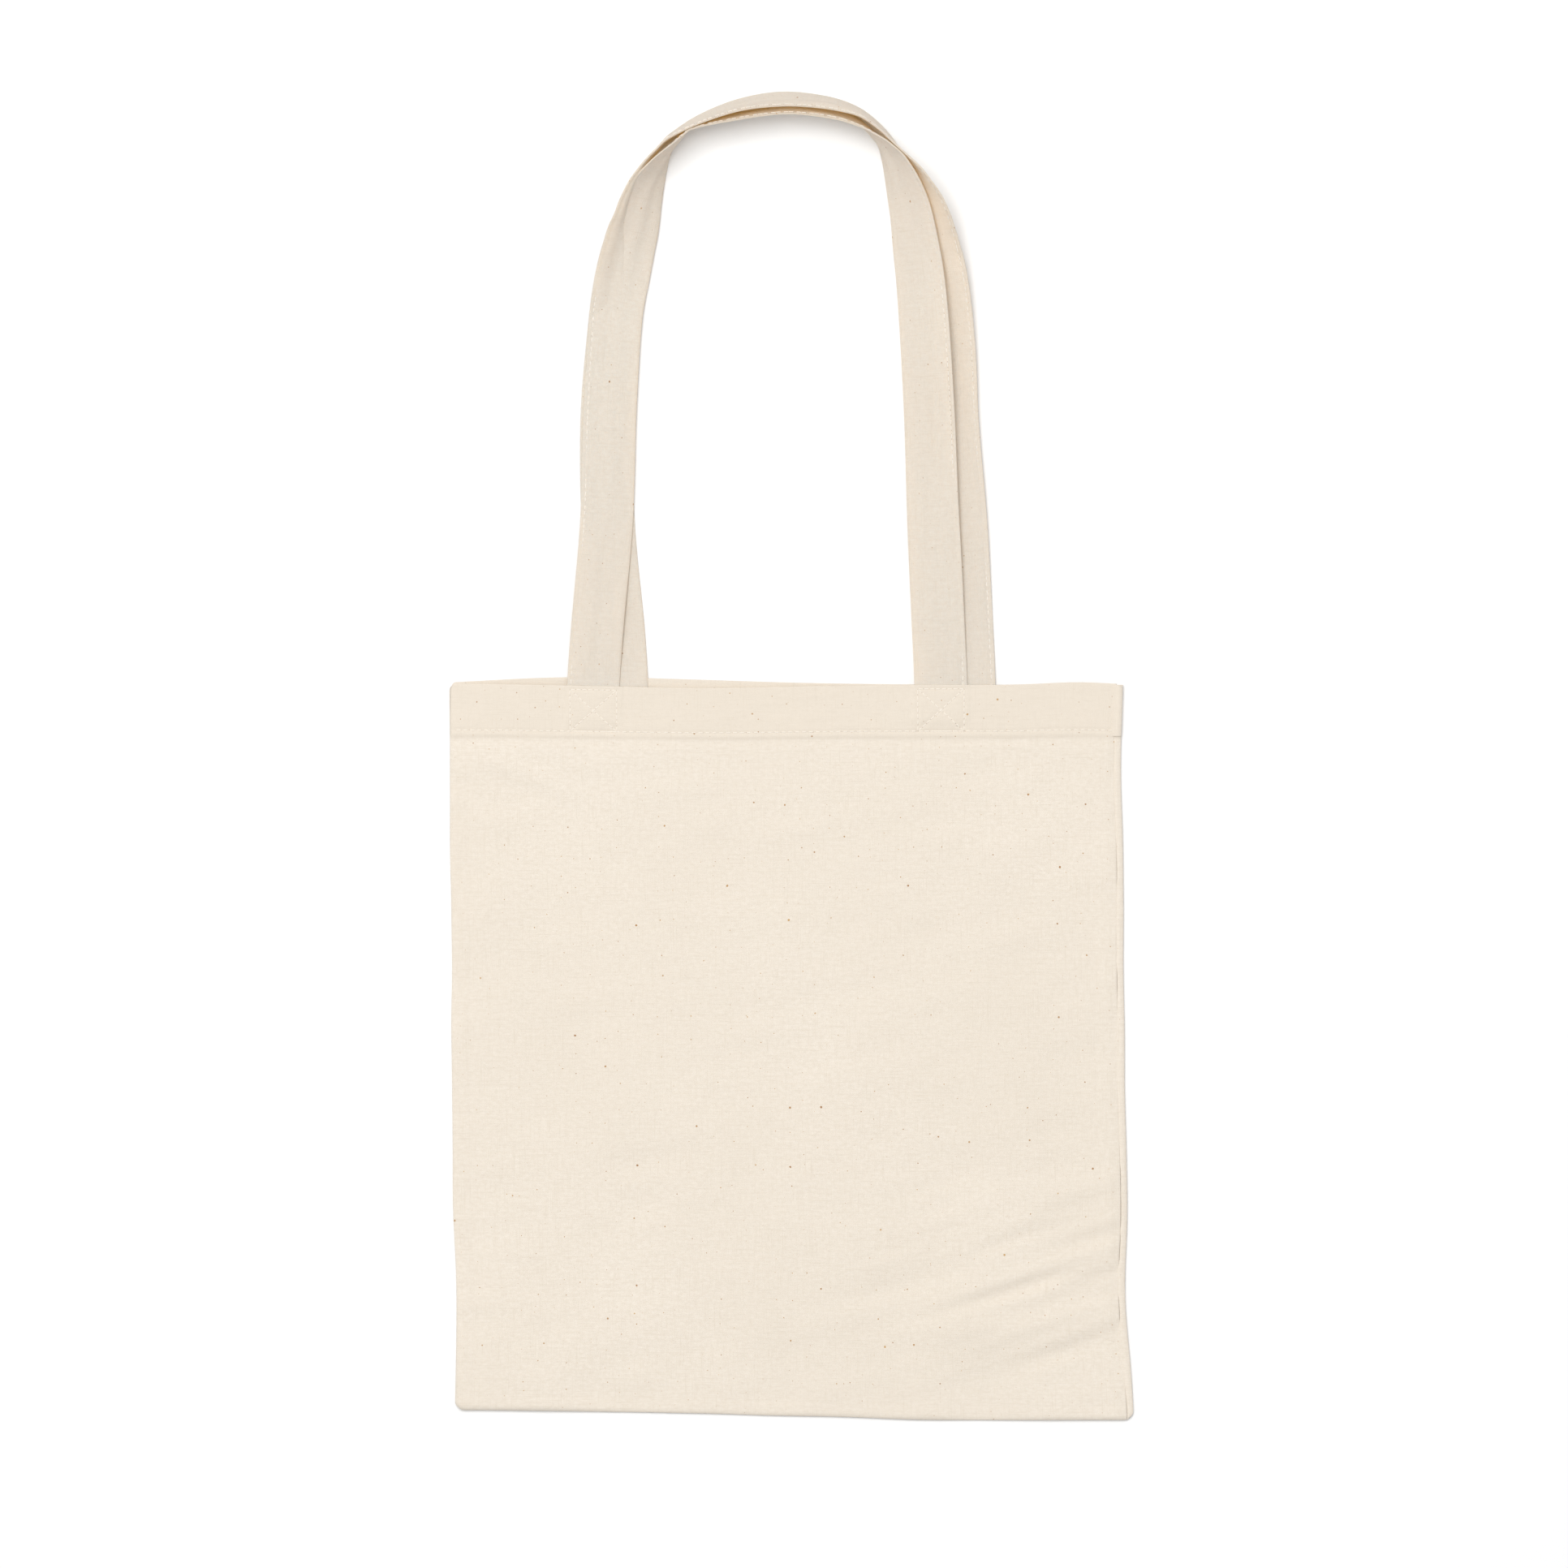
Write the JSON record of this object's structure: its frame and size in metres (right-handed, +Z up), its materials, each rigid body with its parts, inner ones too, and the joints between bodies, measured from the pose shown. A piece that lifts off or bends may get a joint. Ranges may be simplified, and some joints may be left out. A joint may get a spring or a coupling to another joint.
{
  "type": "canvas tote bag",
  "caption": "Flat open-top cotton canvas tote bag with long self-fabric handles sewn inside a turned hem, lying on its back",
  "frame": {"origin": "middle of the bag's footprint, on the surface it lies on", "axes": "+X to the right across the mouth, +Y from the bottom seam towards the handles, +Z up through the front panel"},
  "size_m": [0.388, 0.7544, 0.033],
  "materials": {
    "canvas": "unbleached plain-weave cotton, matt",
    "strap": "the same cotton folded into a strip, matt",
    "thread": "natural cotton sewing thread"
  },
  "bodies": {
    "back": {"back_panel": "canvas", "back_hem_stitching": "thread", "back_handle_left_end": "strap", "back_handle_right_end": "strap", "back_handle_left_box_stitching": "thread", "back_handle_right_box_stitching": "thread", "left_seam_allowance": "canvas", "right_seam_allowance": "canvas", "bottom_seam_allowance": "canvas", "left_seam_stitching": "thread", "right_seam_stitching": "thread", "bottom_seam_stitching": "thread", "left_seam_overlocking": "thread", "right_seam_overlocking": "thread", "bottom_seam_overlocking": "thread"},
    "front": {"front_panel": "canvas", "front_hem_stitching": "thread", "front_handle_left_end": "strap", "front_handle_right_end": "strap", "front_handle_left_box_stitching": "thread", "front_handle_right_box_stitching": "thread"},
    "front_handle": {"front_handle": "strap", "front_handle_edge_stitching": "thread"},
    "back_handle": {"back_handle": "strap", "back_handle_edge_stitching": "thread"}
  },
  "joints": [
    {"name": "mouth_open", "type": "hinge", "parent": "back", "child": "front", "pos_m": [0.00153, -0.37498, 0.0042], "axis": [0.9999, -0.0119, 0], "range_deg": [0, 6]},
    {"name": "front_handle_swing", "type": "hinge", "parent": "front", "child": "front_handle", "pos_m": [-0.00297, 0.03802, 0.0084], "axis": [1, 0, 0], "range_deg": [0, 170]},
    {"name": "back_handle_swing", "type": "hinge", "parent": "back", "child": "back_handle", "pos_m": [-0.00297, 0.03802, 0], "axis": [1, 0, 0], "range_deg": [-175, 0]}
  ]
}
